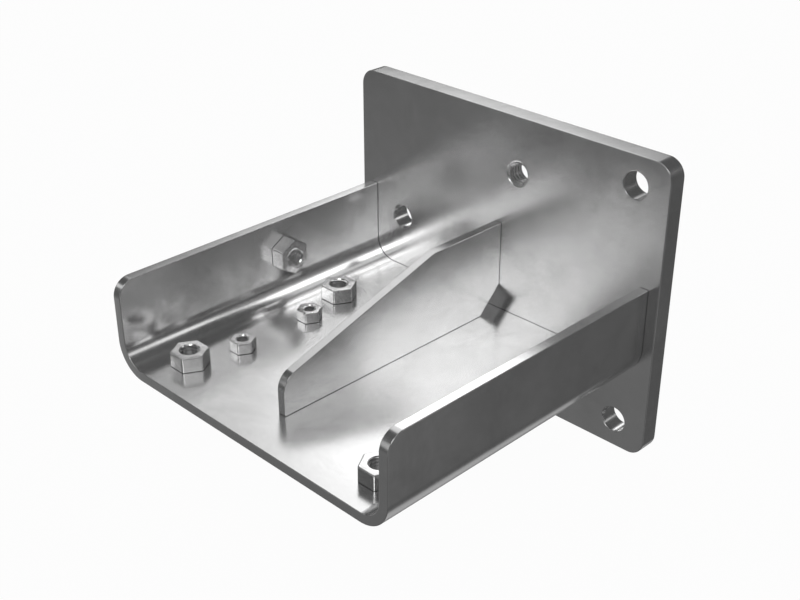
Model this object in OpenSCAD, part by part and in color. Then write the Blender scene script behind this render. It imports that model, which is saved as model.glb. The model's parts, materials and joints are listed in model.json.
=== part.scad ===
// Sensor mounting plate. A drilled plate is bolted to a machine, a folded tray is welded to its
// front, a gusset stiffens the corner between them, and hex weld nuts take the sensor's screws.
// Origin: centre of the plate's back face. +Y points into the machine, +Z is up, and the tray
// reaches out along -Y. "Left" is -X and "right" is +X, seen from the open front of the tray.

/* [Mounting plate] */
// Width of the plate, along X
plate_w = 117; // [114:0.5:130]
// Height of the plate, along Z
plate_h = 92.4; // [84:0.2:110]
// Thickness of the plate
plate_t = 6.2; // [4:0.1:10]
// Radius of the plate's four corners
plate_corner_r = 5.2; // [2:0.1:7]
// Diameter of the three clearance holes
plate_hole_d = 8; // [5:0.1:9]
// From the right-hand edge to the two right-hand holes
right_hole_margin = 11; // [9:0.5:14]
// From the top or bottom edge to the right-hand hole beside it
right_hole_margin_z = 8.7; // [7.5:0.1:12]
// From the left-hand edge to the single left-hand hole
left_hole_margin = 17.9; // [15:0.1:24]

/* [Tapped hole in the plate] */
// Outer diameter of the tapped hole's thread
plate_thread_d = 8; // [4:1:10]
// Pitch of that thread
plate_thread_pitch = 1.25; // [0.7:0.05:1.5]
// From the plate's middle to the tapped hole, to the right
tapped_hole_x = 6.7; // [-20:0.1:20]
// From the top edge down to the tapped hole
tapped_hole_margin_z = 17.3; // [10:0.1:22]

/* [Folded tray] */
// Overall width of the tray over its two flanges
tray_w = 110; // [90:1:112]
// Length of the tray, from the plate to its open end
tray_len = 101; // [92:1:130]
// Thickness of the sheet
sheet_t = 3; // [2:0.1:3.5]
// Overall height of the flanges, from the tray's underside
flange_h = 29; // [27:0.5:40]
// Inside radius of the two bends
bend_r = 6.8; // [3:0.1:10]
// Radius of the flanges' top corners at the open end
flange_corner_r = 5.4; // [2:0.1:10]
// From the plate's bottom edge up to the tray's underside
tray_rise = 25.7; // [18:0.1:32]

/* [Gusset] */
// Thickness of the gusset
gusset_t = 2.8; // [2:0.1:5]
// Height of the gusset at the plate, above the tray's floor
gusset_h = 28.9; // [22:0.1:36]
// Height of the gusset's sloping edge where it reaches the front
gusset_front_h = 11.4; // [9:0.1:18]
// Length of the level stretch of the gusset's top, from the plate
gusset_level = 28.9; // [15:0.1:45]
// From the tray's open end back to the gusset
gusset_setback = 14.2; // [5:0.1:25]
// Corner cut off the gusset where the plate meets the floor
gusset_cope = 8.4; // [4:0.1:12]
// Radius of the gusset's front top corner
gusset_corner_r = 5.2; // [2:0.1:7]

/* [Large weld nuts] */
// Width across flats of a large nut
large_nut_af = 10; // [9:0.5:10.5]
// Height of a large nut
large_nut_h = 4.7; // [3:0.1:6]
// Outer diameter of its thread
large_thread_d = 6; // [5:0.5:7]
// Pitch of its thread
large_thread_pitch = 1; // [0.7:0.05:1.25]
// From the start of the bend to the middles of the large nuts in the floor
large_nut_to_bend = 6.2; // [6.2:0.1:14]
// From the tray's open end to the front pair
large_nut_front = 13; // [7:0.5:18]
// From the plate to the rear pair
large_nut_rear = 30; // [12:0.5:34]

/* [Small weld nuts] */
// Width across flats of a small nut
small_nut_af = 7; // [6:0.5:8]
// Height of a small nut
small_nut_h = 3.5; // [2:0.1:5]
// Outer diameter of its thread
small_thread_d = 4; // [3:0.5:5]
// Pitch of its thread
small_thread_pitch = 0.7; // [0.5:0.05:0.8]
// From the start of the bend to the middles of the small nuts in the floor
small_nut_to_bend = 10.2; // [6:0.1:18]
// Distance between the front and rear small nuts
small_nut_pitch = 26; // [12:0.5:32]

/* [Side nut on the left flange] */
// From the plate to the side nut
side_nut_y = 40.7; // [15:0.1:80]
// From the end of the bend up to the side nut's middle
side_nut_rise = 8; // [7:0.1:12]
// Height of the side nut, from the flange to its face
side_nut_h = 5; // [3:0.1:7]

/* [Clearances] */
// Play of a screw in the hole of the sheet under its nut
screw_play = 0.5; // [0.2:0.05:1]

/* [Hidden] */
$fn = 96;

// Length by which a cut runs past the surface that it goes through
through = 1;

plate_front_y = -plate_t;
right_hole_x = plate_w / 2 - right_hole_margin;
right_hole_z = plate_h / 2 - right_hole_margin_z;
left_hole_x = -plate_w / 2 + left_hole_margin;
tapped_hole_z = plate_h / 2 - tapped_hole_margin_z;

floor_z = -plate_h / 2 + tray_rise + sheet_t;
flange_top_z = floor_z - sheet_t + flange_h;
tray_front_y = plate_front_y - tray_len;
outer_bend_r = bend_r + sheet_t;
flange_inside_x = tray_w / 2 - sheet_t;
bend_start_x = flange_inside_x - bend_r;

gusset_len = tray_len - gusset_setback;
gusset_slope = atan((gusset_h - gusset_front_h) / (gusset_len - gusset_level));
gusset_tangent = gusset_corner_r * tan((90 - gusset_slope) / 2);

large_nut_x = bend_start_x - large_nut_to_bend;
small_nut_x = bend_start_x - small_nut_to_bend;
large_front_y = tray_front_y + large_nut_front;
large_rear_y = plate_front_y - large_nut_rear;
nut_middle_y = (large_front_y + large_rear_y) / 2;
small_front_y = nut_middle_y - small_nut_pitch / 2;
small_rear_y = nut_middle_y + small_nut_pitch / 2;
side_nut_place =
    [-flange_inside_x, plate_front_y - side_nut_y, floor_z + bend_r + side_nut_rise];

// The bore that a thread is cut into
function tapping_d(thread_d, pitch) = thread_d - pitch;

// A rectangle about the origin with four round corners
module rounded_rectangle(size, r) {
    square([size.x - 2 * r, size.y], center = true);
    square([size.x, size.y - 2 * r], center = true);
    for (sx = [-1, 1], sy = [-1, 1])
        translate([sx * (size.x / 2 - r), sy * (size.y / 2 - r)]) circle(r);
}

// A round hole along Y, from the plate's front to its back
module plate_hole(x, z, d) {
    translate([x, through, z]) rotate([90, 0, 0]) cylinder(h = plate_t + 2 * through, d = d);
}

module mounting_plate() {
    color([0.66, 0.66, 0.66])
    difference() {
        rotate([90, 0, 0]) linear_extrude(plate_t)
            rounded_rectangle([plate_w, plate_h], plate_corner_r);
        for (side = [-1, 1]) plate_hole(right_hole_x, side * right_hole_z, plate_hole_d);
        plate_hole(left_hole_x, 0, plate_hole_d);
        plate_hole(tapped_hole_x, tapped_hole_z, tapping_d(plate_thread_d, plate_thread_pitch));
    }
}

// Half width w and height h of a trough with round lower corners of radius r, open at the top
module trough_outline(w, h, r) {
    translate([-w, r]) square([2 * w, h - r]);
    translate([r - w, 0]) square([2 * (w - r), h]);
    for (side = [-1, 1]) translate([side * (w - r), r]) circle(r);
}

// The sheet's folded section, standing on y = 0
module tray_section() {
    difference() {
        trough_outline(tray_w / 2, flange_h, outer_bend_r);
        translate([0, sheet_t]) trough_outline(flange_inside_x, flange_h, bend_r);
    }
}

// What is cut away outside the round top corner of both flanges at the open end
module flange_corner_cut() {
    translate([0, tray_front_y, flange_top_z]) rotate([0, -90, 0])
    linear_extrude(tray_w + 2 * through, center = true)
    difference() {
        translate([-flange_corner_r, -through])
            square([flange_corner_r + through, flange_corner_r + through]);
        translate([-flange_corner_r, flange_corner_r]) circle(flange_corner_r);
    }
}

// A screw hole down through the tray's floor
module floor_hole(x, y, d) {
    translate([x, y, floor_z - sheet_t - through]) cylinder(h = sheet_t + 2 * through, d = d);
}

module folded_tray() {
    color([0.72, 0.72, 0.72])
    difference() {
        translate([0, plate_front_y, floor_z - sheet_t]) rotate([90, 0, 0])
            linear_extrude(tray_len) tray_section();
        flange_corner_cut();
        for (side = [-1, 1]) {
            for (y = [large_front_y, large_rear_y])
                floor_hole(side * large_nut_x, y, large_thread_d + screw_play);
            for (y = [small_front_y, small_rear_y])
                floor_hole(side * small_nut_x, y, small_thread_d + screw_play);
        }
        translate([-tray_w / 2 - through, side_nut_place.y, side_nut_place.z]) rotate([0, 90, 0])
            cylinder(h = sheet_t + 2 * through, d = large_thread_d + screw_play);
    }
}

// The gusset's outline: x runs from the plate to the front, y up from the floor
module gusset_outline() {
    centre = [gusset_len - gusset_corner_r, gusset_front_h - gusset_tangent];
    front_corner = [gusset_len, gusset_front_h];
    on_slope = front_corner + gusset_tangent * [-cos(gusset_slope), sin(gusset_slope)];
    polygon([
        [gusset_cope, 0], [gusset_len, 0], [gusset_len, centre.y], centre, on_slope,
        [gusset_level, gusset_h], [0, gusset_h], [0, gusset_cope],
    ]);
    translate(centre) circle(gusset_corner_r);
}

module gusset() {
    color([0.6, 0.6, 0.6])
    translate([0, plate_front_y, floor_z]) rotate([90, 0, -90])
        linear_extrude(gusset_t, center = true) gusset_outline();
}

// A hex nut that stands on z = 0 with two corners along X
module hex_nut(af, h, bore_d) {
    color([0.78, 0.78, 0.78])
    difference() {
        cylinder(h = h, d = af / cos(30), $fn = 6);
        translate([0, 0, -through]) cylinder(h = h + 2 * through, d = bore_d);
    }
}

module large_nut(h) {
    hex_nut(large_nut_af, h, tapping_d(large_thread_d, large_thread_pitch));
}

module small_nut() {
    hex_nut(small_nut_af, small_nut_h, tapping_d(small_thread_d, small_thread_pitch));
}

module large_floor_nut(side, y) {
    translate([side * large_nut_x, y, floor_z]) large_nut(large_nut_h);
}

module small_floor_nut(side, y) {
    translate([side * small_nut_x, y, floor_z]) small_nut();
}

// The side nut lies on the left flange's inner face and points across the tray
module side_nut() {
    translate(side_nut_place) rotate([0, 90, 0]) large_nut(side_nut_h);
}

mounting_plate();
folded_tray();
gusset();
large_floor_nut(-1, large_front_y);  // large_nut_front_left
large_floor_nut(1, large_front_y);  // large_nut_front_right
large_floor_nut(-1, large_rear_y);  // large_nut_rear_left
large_floor_nut(1, large_rear_y);  // large_nut_rear_right
small_floor_nut(-1, small_front_y);  // small_nut_front_left
small_floor_nut(1, small_front_y);  // small_nut_front_right
small_floor_nut(-1, small_rear_y);  // small_nut_rear_left
small_floor_nut(1, small_rear_y);  // small_nut_rear_right
side_nut();
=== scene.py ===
"""Sensor mounting plate: a drilled back plate, a folded tray, a gusset and nine hex weld nuts.

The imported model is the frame. Each piece is modelled in millimetres where the frame has its
node, and is turned into metres when it is finished.
"""

import json
import math

import bmesh
import bpy
from mathutils import Matrix, Vector


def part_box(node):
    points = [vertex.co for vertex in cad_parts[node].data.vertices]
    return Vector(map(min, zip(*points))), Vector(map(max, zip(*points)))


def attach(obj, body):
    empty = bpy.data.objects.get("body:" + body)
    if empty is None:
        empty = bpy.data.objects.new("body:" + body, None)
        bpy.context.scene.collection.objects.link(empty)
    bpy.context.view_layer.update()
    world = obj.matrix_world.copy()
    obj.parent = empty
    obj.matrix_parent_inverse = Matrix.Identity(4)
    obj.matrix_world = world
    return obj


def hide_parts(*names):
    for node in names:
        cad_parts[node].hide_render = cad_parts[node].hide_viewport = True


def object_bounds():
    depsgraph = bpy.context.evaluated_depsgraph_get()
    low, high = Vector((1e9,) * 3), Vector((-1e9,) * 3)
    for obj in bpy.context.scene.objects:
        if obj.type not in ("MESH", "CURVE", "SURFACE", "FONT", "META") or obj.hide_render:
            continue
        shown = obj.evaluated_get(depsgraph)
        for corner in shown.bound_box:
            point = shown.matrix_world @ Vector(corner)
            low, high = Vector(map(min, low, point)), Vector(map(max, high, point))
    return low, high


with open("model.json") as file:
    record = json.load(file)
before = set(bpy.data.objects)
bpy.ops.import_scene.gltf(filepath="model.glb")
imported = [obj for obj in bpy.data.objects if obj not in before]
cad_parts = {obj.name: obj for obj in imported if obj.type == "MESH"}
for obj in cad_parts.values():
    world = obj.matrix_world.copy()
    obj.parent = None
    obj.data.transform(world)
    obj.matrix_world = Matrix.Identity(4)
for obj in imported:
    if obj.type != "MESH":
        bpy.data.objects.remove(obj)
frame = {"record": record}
frame_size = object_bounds()


# ---- Mounting plate ----
# Cut from flat bar and ground, with three drilled screw holes and one tapped hole. Its edges are
# broken with a fine file, so they catch the light. It is bolted to the machine by its back face.

MM = 0.001
same_place = 0.01
hair = 1e-4


def node_box(node):
    """The lowest and highest corner of a frame node, in millimetres."""
    low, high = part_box(node)
    return low / MM, high / MM


def mount(name):
    """A mount of the record: its place and radius in millimetres, and all its dimensions."""
    found = next(m for m in frame["record"]["mounts"] if m["name"] == name)
    dims = found["dims"]
    return Vector(found["pos_m"]) / MM, dims.get("r_mm", dims.get("hole_r_mm")), dims


def sheet(corners):
    """A mesh of one flat face with these corners."""
    bm = bmesh.new()
    bm.faces.new([bm.verts.new(corner) for corner in corners])
    return bm


def round_corners(bm, places, radius):
    """Rounds the corners of an open sheet that lie at these places."""
    chosen = [v for v in bm.verts if any((v.co - Vector(p)).length < same_place for p in places)]
    bmesh.ops.bevel(bm, geom=chosen, offset=radius, segments=14, profile=0.5,
                    affect="VERTICES", material=-1)


def split(bm, faces, point, normal):
    """Cuts these faces along a plane and keeps both sides."""
    edges = {e for f in faces for e in f.edges}
    verts = {v for f in faces for v in f.verts}
    bmesh.ops.bisect_plane(bm, geom=list(faces) + list(edges) + list(verts),
                           plane_co=point, plane_no=normal, dist=hair)


def square_cell(bm, centre, along, across, half, wanted=lambda face: True):
    """Cuts a square cell round a centre out of an open sheet and returns its loop of edges."""
    centre, along, across = Vector(centre), Vector(along), Vector(across)
    for side in (-half, half):
        split(bm, [f for f in bm.faces if wanted(f)], centre + side * along, along)
    for side in (-half, half):
        strip = [f for f in bm.faces if wanted(f)
                 and abs((f.calc_center_median() - centre).dot(along)) < half]
        split(bm, strip, centre + side * across, across)
    cell = min((f for f in bm.faces if wanted(f)),
               key=lambda f: (f.calc_center_median() - centre).length)
    loop = list(cell.edges)
    bmesh.ops.delete(bm, geom=[cell], context="FACES_ONLY")
    return loop


def drill(bm, centre, along, across, radius, half, wanted=lambda face: True):
    """Makes a round hole in an open sheet, in a square cell of its own."""
    cuts_a_side = 13
    centre = Vector(centre)
    loop = square_cell(bm, centre, along, across, half, wanted)
    divided = bmesh.ops.subdivide_edges(bm, edges=loop, cuts=cuts_a_side)
    rim = {e for e in divided["geom_inner"] + divided["geom_split"] + loop
           if isinstance(e, bmesh.types.BMEdge) and e.is_valid and e.is_boundary}
    drawn = bmesh.ops.extrude_edge_only(bm, edges=list(rim))
    for vert in drawn["geom"]:
        if isinstance(vert, bmesh.types.BMVert):
            vert.co = centre + radius * (vert.co - centre).normalized()


def thicken(bm, thickness):
    """Gives an open sheet its thickness, on the side its faces look away from."""
    bm.normal_update()
    bmesh.ops.solidify(bm, geom=bm.faces[:], thickness=thickness)
    bmesh.ops.recalc_face_normals(bm, faces=bm.faces[:])


def break_edges(bm, width):
    """Rounds every sharp edge by a small width."""
    sharp = [e for e in bm.edges if e.is_manifold and e.calc_face_angle() > math.radians(50)]
    bmesh.ops.bevel(bm, geom=sharp, offset=width, segments=3, profile=0.5,
                    affect="EDGES", material=-1)


def thread(bm, bore_radius, pitch, length, place, mouth):
    """Adds the wall of a tapped bore that is countersunk at both ends, and returns the round rim
    at each end. place turns local Z, along which the bore runs from 0 to its length. mouth is
    the countersink's inner and outer radius and its depth."""
    steps = 40
    turns = math.ceil(length / pitch) + 2
    crest, root = 0.25 * pitch, 0.125 * pitch
    flank = (pitch - crest - root) / 2
    root_radius = bore_radius + flank / math.tan(math.radians(30))
    profile = [(bore_radius, 0), (bore_radius, crest), (root_radius, crest + flank),
               (root_radius, crest + flank + root), (bore_radius, pitch)]
    before = set(bm.verts)
    points = [bm.verts.new((r, 0, z - pitch)) for r, z in profile]
    lines = [bm.edges.new(pair) for pair in zip(points, points[1:])]
    bmesh.ops.spin(bm, geom=points + lines, cent=(0, 0, 0), axis=(0, 0, 1),
                   dvec=(0, 0, pitch / steps), angle=2 * math.pi * turns, steps=steps * turns,
                   use_merge=False)
    made = [v for v in bm.verts if v not in before]
    bmesh.ops.remove_doubles(bm, verts=made, dist=0.002)
    inner, outer, sink = mouth
    lip = 0.05
    for height, outward in ((sink, -1), (length - sink, 1)):
        made = [v for v in bm.verts if v not in before]
        geom = made + list({e for v in made for e in v.link_edges})
        geom += list({f for v in made for f in v.link_faces})
        bmesh.ops.bisect_plane(bm, geom=geom, plane_co=(0, 0, height), plane_no=(0, 0, outward),
                               dist=hair, clear_outer=True)
    loops = []
    for height, face in ((sink, 0), (length - sink, length)):
        made = [v for v in bm.verts if v not in before]
        end = [e for e in {e for v in made for e in v.link_edges}
               if e.is_boundary and all(abs(v.co.z - height) < 1e-3 for v in e.verts)]
        lip_level = height - lip if face == 0 else height + lip
        for radius, level in ((inner, lip_level), (outer, face)):
            for edge in end:
                edge.smooth = False
            drawn = bmesh.ops.extrude_edge_only(bm, edges=end)["geom"]
            for vert in drawn:
                if isinstance(vert, bmesh.types.BMVert):
                    flat = vert.co.xy.normalized() * radius
                    vert.co = (flat.x, flat.y, level)
            end = [e for e in drawn if isinstance(e, bmesh.types.BMEdge)]
        loops.append(end)
    bmesh.ops.transform(bm, matrix=place, verts=[v for v in bm.verts if v not in before])
    return loops


def fill_ring(bm, outer, rim, normal):
    """Fills the flat ring between a loop of edges and the rim of a bore, which stays sharp."""
    bmesh.ops.triangle_fill(bm, use_beauty=True, use_dissolve=False, normal=normal,
                            edges=list(outer) + list(rim))
    for edge in rim:
        edge.smooth = False


def finish_piece(bm, name, nodes, material):
    """Turns a mesh into a finished piece in metres that stands for its frame nodes."""
    sharp_angle = math.radians(40)
    bmesh.ops.dissolve_degenerate(bm, dist=hair, edges=bm.edges[:])
    bmesh.ops.recalc_face_normals(bm, faces=bm.faces[:])
    for edge in bm.edges:
        if edge.calc_face_angle(0) > sharp_angle:
            edge.smooth = False
    bmesh.ops.scale(bm, vec=(MM, MM, MM), verts=bm.verts[:])
    mesh = bpy.data.meshes.new(name)
    bm.to_mesh(mesh)
    bm.free()
    mesh.materials.append(material)
    mesh.polygons.foreach_set("use_smooth", [True] * len(mesh.polygons))
    piece = bpy.data.objects.new(name, mesh)
    bpy.context.scene.collection.objects.link(piece)
    weighted = piece.modifiers.new("even_shading", "WEIGHTED_NORMAL")
    weighted.keep_sharp = True
    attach(piece, "root")
    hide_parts(*nodes)
    return piece


class Shade:
    """A value among a material's nodes. Arithmetic on it adds Math nodes."""

    def __init__(self, tree, output=None):
        self.tree = tree
        self.output = output

    def add(self, kind, settings=None, sockets=None, output=0):
        """Adds a node of this kind, sets it, joins its sockets and returns one of its outputs."""
        node = self.tree.nodes.new(kind)
        for name, value in (settings or {}).items():
            setattr(node, name, value)
        for name, value in (sockets or {}).items():
            if isinstance(value, Shade):
                self.tree.links.new(value.output, node.inputs[name])
            else:
                node.inputs[name].default_value = value
        return Shade(self.tree, node.outputs[output] if len(node.outputs) else None)

    def maths(self, operation, *values):
        return self.add("ShaderNodeMath", {"operation": operation}, dict(enumerate(values)))

    def __add__(self, other):
        return self.maths("ADD", self, other)

    def __radd__(self, other):
        return self.maths("ADD", other, self)

    def __sub__(self, other):
        return self.maths("SUBTRACT", self, other)

    def __rsub__(self, other):
        return self.maths("SUBTRACT", other, self)

    def __mul__(self, other):
        return self.maths("MULTIPLY", self, other)

    def __rmul__(self, other):
        return self.maths("MULTIPLY", other, self)


def steel(name, tone, roughness, smudge_size, smudge_depth, joints):
    """Satin steel: a plain grey whose gloss is uneven where it was wiped and handled. joints
    lists the faces that are welded to another piece, each as its axis, its place in millimetres
    and the way into the piece. Along them the grey is darkened in a thin line: painted shade of
    the crease where the pieces meet."""
    # Width in millimetres and darkest tone of the painted shade along each joint.
    joint_shade_width, joint_shade_tone = 0.3, 0.12
    material = bpy.data.materials.new(name)
    material.use_nodes = True
    material.node_tree.nodes.clear()
    shade = Shade(material.node_tree)
    place = shade.add("ShaderNodeTexCoord", output="Object")
    smudge = shade.add("ShaderNodeTexNoise", {},
                       {"Vector": place, "Scale": 1 / smudge_size, "Detail": 5.0,
                        "Roughness": 0.58, "Distortion": 0.4})
    fine = shade.add("ShaderNodeTexNoise", {},
                     {"Vector": place, "Scale": 9 / smudge_size, "Detail": 3.0, "Roughness": 0.5})
    uneven, grain = smudge - 0.5, fine - 0.5
    grey = tone + smudge_depth * uneven + 0.25 * smudge_depth * grain
    # Painted shade: the grey darkens towards each joint face and stands in for the shadow in the
    # crease between welded pieces.
    for axis, place_mm, inward in joints:
        depth = shade.add("ShaderNodeSeparateXYZ", {}, {"Vector": place}, output=axis)
        face, clean = place_mm * MM, (place_mm + inward * joint_shade_width) * MM
        low_tone, high_tone = (joint_shade_tone, 1.0) if inward > 0 else (1.0, joint_shade_tone)
        painted_joint_shade = shade.add("ShaderNodeMapRange", {"interpolation_type": "SMOOTHSTEP"},
                               {"Value": depth,
                                "From Min": min(face, clean), "From Max": max(face, clean),
                                "To Min": low_tone, "To Max": high_tone})
        grey = grey * painted_joint_shade
    colour = shade.add("ShaderNodeCombineColor", {}, {"Red": grey, "Green": grey, "Blue": grey})
    gloss = roughness + 0.1 * uneven + 0.03 * grain
    bump = shade.add("ShaderNodeBump", {},
                     {"Strength": 1.0, "Distance": 0.00006, "Height": smudge + 0.08 * fine})
    surface = shade.add("ShaderNodeBsdfPrincipled", {},
                        {"Base Color": colour, "Metallic": 1.0, "Roughness": gloss,
                         "Normal": bump})
    shade.add("ShaderNodeOutputMaterial", {}, {"Surface": surface})
    return material


plate_edge = 0.25
plate_corner_r = 5.2
hole_cell = 6.2
plate_low, plate_high = node_box("mounting_plate")
plate_front = plate_low.y
plate_thick = plate_high.y - plate_low.y

bm = sheet([(plate_low.x, plate_front, plate_low.z), (plate_high.x, plate_front, plate_low.z),
            (plate_high.x, plate_front, plate_high.z), (plate_low.x, plate_front, plate_high.z)])
round_corners(bm, [v.co.copy() for v in bm.verts], plate_corner_r)
right_holes, right_hole_r, right_dims = mount("right_plate_holes")
left_hole, left_hole_r, _ = mount("left_plate_hole")
tapped_hole, tapped_bore_r, _ = mount("tapped_hole")
thread_crest = 0.27
tapped_pitch = 1.25
tapped_mouth = (4.0, 4.2, 0.25)
for side in (-1, 1):
    drill(bm, (right_holes.x, plate_front, side * right_dims["spacing_y_mm"] / 2),
          (1, 0, 0), (0, 0, 1), right_hole_r, hole_cell)
drill(bm, (left_hole.x, plate_front, left_hole.z), (1, 0, 0), (0, 0, 1), left_hole_r, hole_cell)
tapped_front = square_cell(bm, (tapped_hole.x, plate_front, tapped_hole.z),
                           (1, 0, 0), (0, 0, 1), hole_cell)
tapped_corners = [v.co.copy() for v in {v for e in tapped_front for v in e.verts}]
thicken(bm, plate_thick)


def at_tapped_hole(vert):
    return any((vert.co.xz - corner.xz).length < same_place for corner in tapped_corners)


walls = [f for f in bm.faces if all(at_tapped_hole(v) for v in f.verts)]
bmesh.ops.delete(bm, geom=walls, context="FACES")
break_edges(bm, plate_edge)
tapped_place = (Matrix.Translation((tapped_hole.x, 0, tapped_hole.z))
                @ Matrix.Rotation(math.radians(90), 4, "X"))
bore = thread(bm, tapped_bore_r - thread_crest, tapped_pitch, plate_thick, tapped_place,
              tapped_mouth)
for rim in bore:
    face_y = rim[0].verts[0].co.y
    square = [e for e in bm.edges if e.is_boundary
              and all(at_tapped_hole(v) and abs(v.co.y - face_y) < same_place
                      for v in e.verts)]
    fill_ring(bm, square, rim, (0, 1 if face_y > plate_front / 2 else -1, 0))
steel_tone = 0.85
satin_plate = steel("satin_plate", tone=steel_tone, roughness=0.225, smudge_size=0.022,
                    smudge_depth=0.3, joints=[])
finish_piece(bm, "plate", ["mounting_plate"], satin_plate)


# ---- Folded tray ----
# A 3 mm sheet, punched flat and folded up on both sides over a large radius. Its cut edges are
# deburred, and its back edge is welded to the plate.

tray_low, tray_high = node_box("folded_tray")
satin_tray = steel("satin_tray", tone=steel_tone, roughness=0.22, smudge_size=0.022,
                   smudge_depth=0.26, joints=[("Y", tray_high.y, -1)])
sheet_thick = 3.0
bend_inside_r = 6.8
flange_corner_r = 5.4
screw_hole_margin = 1.3
side_hole_r = 3.25
side_hole_cell = 4.6
tray_edge = 0.2
inside_x = tray_high.x - sheet_thick
floor_z = tray_low.z + sheet_thick
front_y, back_y = tray_low.y, tray_high.y

bm = bmesh.new()
section = [bm.verts.new(point) for point in (
    (-inside_x, front_y, tray_high.z), (-inside_x, front_y, floor_z),
    (inside_x, front_y, floor_z), (inside_x, front_y, tray_high.z))]
folds = [bm.edges.new(pair) for pair in zip(section, section[1:])]
drawn = bmesh.ops.extrude_edge_only(bm, edges=folds)
bmesh.ops.translate(bm, vec=(0, back_y - front_y, 0),
                    verts=[v for v in drawn["geom"] if isinstance(v, bmesh.types.BMVert)])
bmesh.ops.recalc_face_normals(bm, faces=bm.faces[:])
if max(bm.faces, key=lambda f: abs(f.normal.z)).normal.z < 0:
    bmesh.ops.reverse_faces(bm, faces=bm.faces[:])
bend_lines = [e for e in bm.edges if not e.is_boundary]
bmesh.ops.bevel(bm, geom=bend_lines, offset=bend_inside_r, segments=24, profile=0.5,
                affect="EDGES", material=-1)
round_corners(bm, [(side * inside_x, front_y, tray_high.z) for side in (-1, 1)],
              flange_corner_r)
for name in ("tray_large_holes", "tray_small_holes"):
    middle, hole_r, dims = mount(name)
    for sx in (-1, 1):
        for sy in (-1, 1):
            drill(bm, (sx * dims["spacing_x_mm"] / 2, middle.y + sy * dims["spacing_y_mm"] / 2,
                       floor_z), (0, 1, 0), (1, 0, 0), hole_r, hole_r + screw_hole_margin,
                  lambda face: abs(face.normal.z) > 0.999)
side_thread, side_bore_r, _ = mount("side_nut_thread")
drill(bm, (-inside_x, side_thread.y, side_thread.z), (0, 1, 0), (0, 0, 1),
      side_hole_r, side_hole_cell,
      lambda face: abs(face.normal.x) > 0.999 and face.calc_center_median().x < 0)
thicken(bm, sheet_thick)
break_edges(bm, tray_edge)
finish_piece(bm, "tray", ["folded_tray"], satin_tray)


# ---- Gusset ----
# A thinner sheet on edge, welded to the plate and to the tray's floor. It has a cope over the
# weld in the corner, a level top beside the plate, a long slope and one round corner in front.

gusset_low, gusset_high = node_box("gusset")
satin_gusset = steel("satin_gusset", tone=steel_tone, roughness=0.22, smudge_size=0.020,
                     smudge_depth=0.26,
                     joints=[("Y", gusset_high.y, -1), ("Z", gusset_low.z, 1)])
gusset_cope = 8.4
gusset_level = 28.9
gusset_front_h = 11.4
gusset_corner_r = 5.2
gusset_edge = 0.17
gusset_x = gusset_low.x
bm = sheet([
    (gusset_x, gusset_high.y - gusset_cope, gusset_low.z),
    (gusset_x, gusset_low.y, gusset_low.z),
    (gusset_x, gusset_low.y, gusset_low.z + gusset_front_h),
    (gusset_x, gusset_high.y - gusset_level, gusset_high.z),
    (gusset_x, gusset_high.y, gusset_high.z),
    (gusset_x, gusset_high.y, gusset_low.z + gusset_cope),
])
slope = math.atan2(gusset_high.z - gusset_low.z - gusset_front_h,
                   gusset_high.y - gusset_level - gusset_low.y)
round_corners(bm, [(gusset_x, gusset_low.y, gusset_low.z + gusset_front_h)],
              gusset_corner_r * math.tan((math.pi / 2 - slope) / 2))
bmesh.ops.recalc_face_normals(bm, faces=bm.faces[:])
if bm.faces[:][0].normal.x > 0:
    bmesh.ops.reverse_faces(bm, faces=bm.faces[:])
thicken(bm, gusset_high.x - gusset_low.x)
break_edges(bm, gusset_edge)
finish_piece(bm, "gusset_sheet", ["gusset"], satin_gusset)


# ---- Weld nuts ----
# Plain steel hexagons with no washer face, tapped right through and countersunk a little at both
# ends. They are welded over clearance holes: eight on the tray's floor and one on the left
# flange's inner face.

satin_nut = steel("satin_nut", tone=steel_tone, roughness=0.19, smudge_size=0.004,
                  smudge_depth=0.3, joints=[("Z", floor_z, 1), ("X", -inside_x, 1)])
nut_edge = 0.34
nut_foot_edge = 0.12


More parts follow.
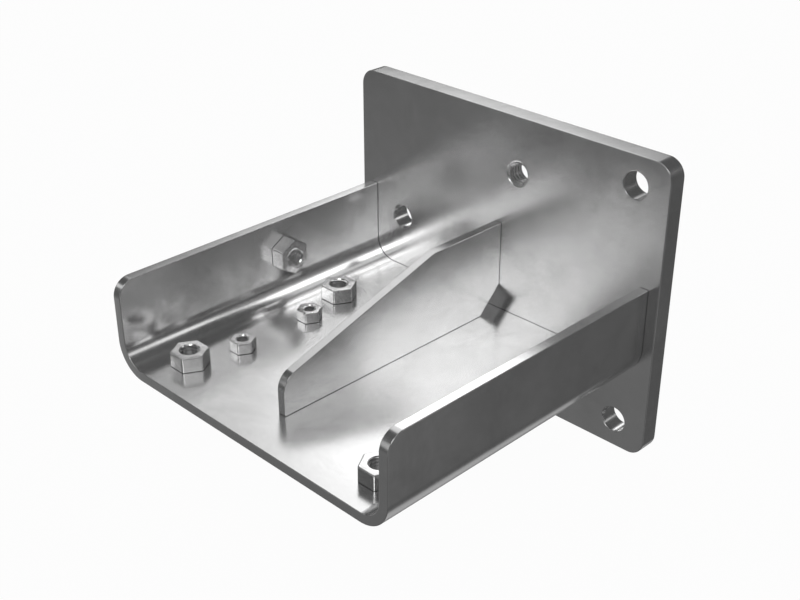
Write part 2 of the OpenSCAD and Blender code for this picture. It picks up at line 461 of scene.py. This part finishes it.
def hex_nut(name, node, across_flats, bore_radius, pitch, axis="Z"):
    """A hex nut in its node's place. Local Z runs from its foot to its face."""
    low, high = node_box(node)
    height = (high - low)[2 if axis == "Z" else 0]
    foot = Vector(((low.x + high.x) / 2, (low.y + high.y) / 2, low.z))
    place = Matrix.Translation(foot)
    if axis == "X":
        foot = Vector((low.x, (low.y + high.y) / 2, (low.z + high.z) / 2))
        place = Matrix.Translation(foot) @ Matrix.Rotation(math.radians(90), 4, "Y")
    bm = bmesh.new()
    base = bmesh.ops.create_circle(bm, cap_ends=True, segments=6,
                                   radius=across_flats / math.sqrt(3),
                                   matrix=Matrix.Rotation(math.radians(30), 4, "Z"))
    turn = Matrix.Rotation(-math.atan2(base["verts"][0].co.y, base["verts"][0].co.x), 3, "Z")
    bmesh.ops.rotate(bm, cent=(0, 0, 0), matrix=turn, verts=bm.verts[:])
    raised = bmesh.ops.extrude_face_region(bm, geom=bm.faces[:])
    bmesh.ops.translate(bm, vec=(0, 0, height),
                        verts=[v for v in raised["geom"] if isinstance(v, bmesh.types.BMVert)])
    bmesh.ops.recalc_face_normals(bm, faces=bm.faces[:])
    corners = [e for e in bm.edges if abs(e.verts[0].co.z - e.verts[1].co.z) > 0.1]
    bmesh.ops.bevel(bm, geom=corners, offset=nut_edge, segments=3, profile=0.5,
                    affect="EDGES", material=-1)
    for level, width in ((height, nut_edge), (0, nut_foot_edge)):
        rim = [e for e in bm.edges if all(abs(v.co.z - level) < hair for v in e.verts)]
        bmesh.ops.bevel(bm, geom=rim, offset=width, segments=3, profile=0.5,
                        affect="EDGES", material=-1)
    ends = []
    for level in (0, height):
        face = max((f for f in bm.faces if abs(f.calc_center_median().z - level) < 1e-3),
                   key=lambda f: f.calc_area())
        ends.append(list(face.edges))
        bmesh.ops.delete(bm, geom=[face], context="FACES_ONLY")
    mouth = (bore_radius + 0.42 * pitch, bore_radius + 0.64 * pitch, 0.35 * pitch)
    rims = thread(bm, bore_radius, pitch, height, Matrix.Identity(4), mouth)
    for outer, rim, up in zip(ends, rims, (-1, 1)):
        fill_ring(bm, outer, rim, (0, 0, up))
    bmesh.ops.transform(bm, matrix=place, verts=bm.verts[:])
    return finish_piece(bm, name, [node], satin_nut)


large_across_flats, large_pitch = 10.0, 1.0
small_across_flats, small_pitch = 7.0, 0.7
_, large_bore_r, _ = mount("large_nut_pattern")
_, small_bore_r, _ = mount("small_nut_pattern")
for end in ("front", "rear"):
    for side in ("left", "right"):
        hex_nut(f"large_weld_nut_{end}_{side}", f"large_nut_{end}_{side}",
                large_across_flats, large_bore_r, large_pitch)
        hex_nut(f"small_weld_nut_{end}_{side}", f"small_nut_{end}_{side}",
                small_across_flats, small_bore_r, small_pitch)
hex_nut("side_weld_nut", "side_nut", large_across_flats, side_bore_r, large_pitch, axis="X")


# ---- Floor and light ----
# A plain white floor in a dim grey room with soft boxes all round. The steel shows the white
# floor too, but at the small share of its strength that the faces that look down in the photo
# show. The rest of a mirror ray goes on to the low soft boxes.

floor_drop = 0.004
floor_half_width = 6.0
white_share = 0.97
mirror_share = 0.09
bm = bmesh.new()
bmesh.ops.create_grid(bm, x_segments=1, y_segments=1, size=floor_half_width)
bmesh.ops.translate(bm, vec=(0, 0, frame_size[0][2] - floor_drop), verts=bm.verts[:])
floor_mesh = bpy.data.meshes.new("floor")
bm.to_mesh(floor_mesh)
bm.free()
floor = bpy.data.objects.new("floor", floor_mesh)
bpy.context.scene.collection.objects.link(floor)
floor_white = bpy.data.materials.new("floor_white")
floor_white.use_nodes = True
floor_white.node_tree.nodes.clear()
shade = Shade(floor_white.node_tree)
seen = shade.add("ShaderNodeLightPath", output="Is Camera Ray")
mirrored = shade.add("ShaderNodeLightPath", output="Is Glossy Ray")
through = shade.add("ShaderNodeLightPath", output="Is Transmission Ray")
plain = shade.add("ShaderNodeBsdfDiffuse", {}, {"Color": (0.9, 0.9, 0.9, 1)})
bright = shade.add("ShaderNodeEmission", {}, {"Color": (1, 1, 1, 1), "Strength": 1.0})
white = shade.add("ShaderNodeMixShader", {},
                  {0: white_share * (seen + mirrored + through), 1: plain, 2: bright})
clear = shade.add("ShaderNodeBsdfTransparent", {}, {"Color": (1, 1, 1, 1)})
ground = shade.add("ShaderNodeMixShader", {},
                   {0: (1 - mirror_share) * mirrored, 1: white, 2: clear})
shade.add("ShaderNodeOutputMaterial", {}, {"Surface": ground})
floor_mesh.materials.append(floor_white)

world = bpy.data.worlds.new("studio")
world.use_nodes = True
world.node_tree.nodes.clear()
bpy.context.scene.world = world
shade = Shade(world.node_tree)
towards = shade.add("ShaderNodeTexCoord", output="Generated")
room = 0.09
horizon = 0.01
upward = shade.add("ShaderNodeSeparateXYZ", {}, {"Vector": towards}, output="Z")
above_floor = shade.add("ShaderNodeMapRange", {},
                        {"Value": upward, "From Min": -horizon, "From Max": horizon,
                         "To Min": 0.0, "To Max": room})
# Soft boxes: the way to each, in degrees round from +X and up, its half angle, its soft edge
# and its brightness over the room's.
soft_boxes = [
    (-49, 40, 8, 6, 2.36), (-47, 42, 6, 7, 0.34), (-49, 40, 14, 10, 0.34),
    (-79, 53, 4, 6, 1.22), (132, 31, 4, 6, 1.53), (132, 31, 10, 8, 0.32),
    (150, 50, 10, 8, 0.70), (38, 25, 4, 6, 1.63), (-150, 23, 4, 6, 0.79),
    (-116, 13, 13, 6, 0.39), (-11, 36, 13, 7, 0.30), (25, -28, 10, 8, 0.24),
    (90, -60, 12, 8, 0.36), (-130, -30, 10, 8, 0.06), (-100, -30, 12, 10, 0.05),
    (135, -24, 14, 16, 0.30), (95, -12, 8, 14, 0.22), (-175, -20, 14, 16, 0.28),
    (0, 88, 12, 14, 0.30), (-90, -8, 10, 14, 0.24)]
light = above_floor
for around, up, half, soft, brightness in soft_boxes:
    a, e = math.radians(around), math.radians(up)
    way = (math.cos(a) * math.cos(e), math.sin(a) * math.cos(e), math.sin(e))
    near = shade.add("ShaderNodeVectorMath", {"operation": "DOT_PRODUCT"},
                     {0: towards, 1: way}, output="Value")
    box = shade.add("ShaderNodeMapRange", {"interpolation_type": "SMOOTHSTEP"},
                    {"Value": near, "From Min": math.cos(math.radians(half + soft)),
                     "From Max": math.cos(math.radians(half)),
                     "To Min": 0.0, "To Max": brightness})
    light = light + box
seen = shade.add("ShaderNodeLightPath", output="Is Camera Ray")
through = shade.add("ShaderNodeLightPath", output="Is Transmission Ray")
white_sky = seen + through
strength = white_sky + (1 - white_sky) * light
sky = shade.add("ShaderNodeBackground", {}, {"Color": (1, 1, 1, 1), "Strength": strength})
shade.add("ShaderNodeOutputWorld", {}, {"Surface": sky})


# ---- Camera ----
# Solved from the photo's straight edges: its place, the way it looks and its long lens.

camera_data = bpy.data.cameras.new("camera")
camera = bpy.data.objects.new("camera", camera_data)
bpy.context.scene.collection.objects.link(camera)
camera_data.lens = 56.75
camera_data.sensor_width = 36.0
camera_data.shift_x = -0.0008
camera_data.shift_y = 0.0060
camera_data.clip_start = 0.01
camera.location = Vector((223.339, -271.796, 171.225)) * MM
camera.rotation_euler = (math.radians(90 - 28.581), 0, math.radians(44.9115))
bpy.context.scene.camera = camera
bpy.context.scene.view_settings.view_transform = "Standard"
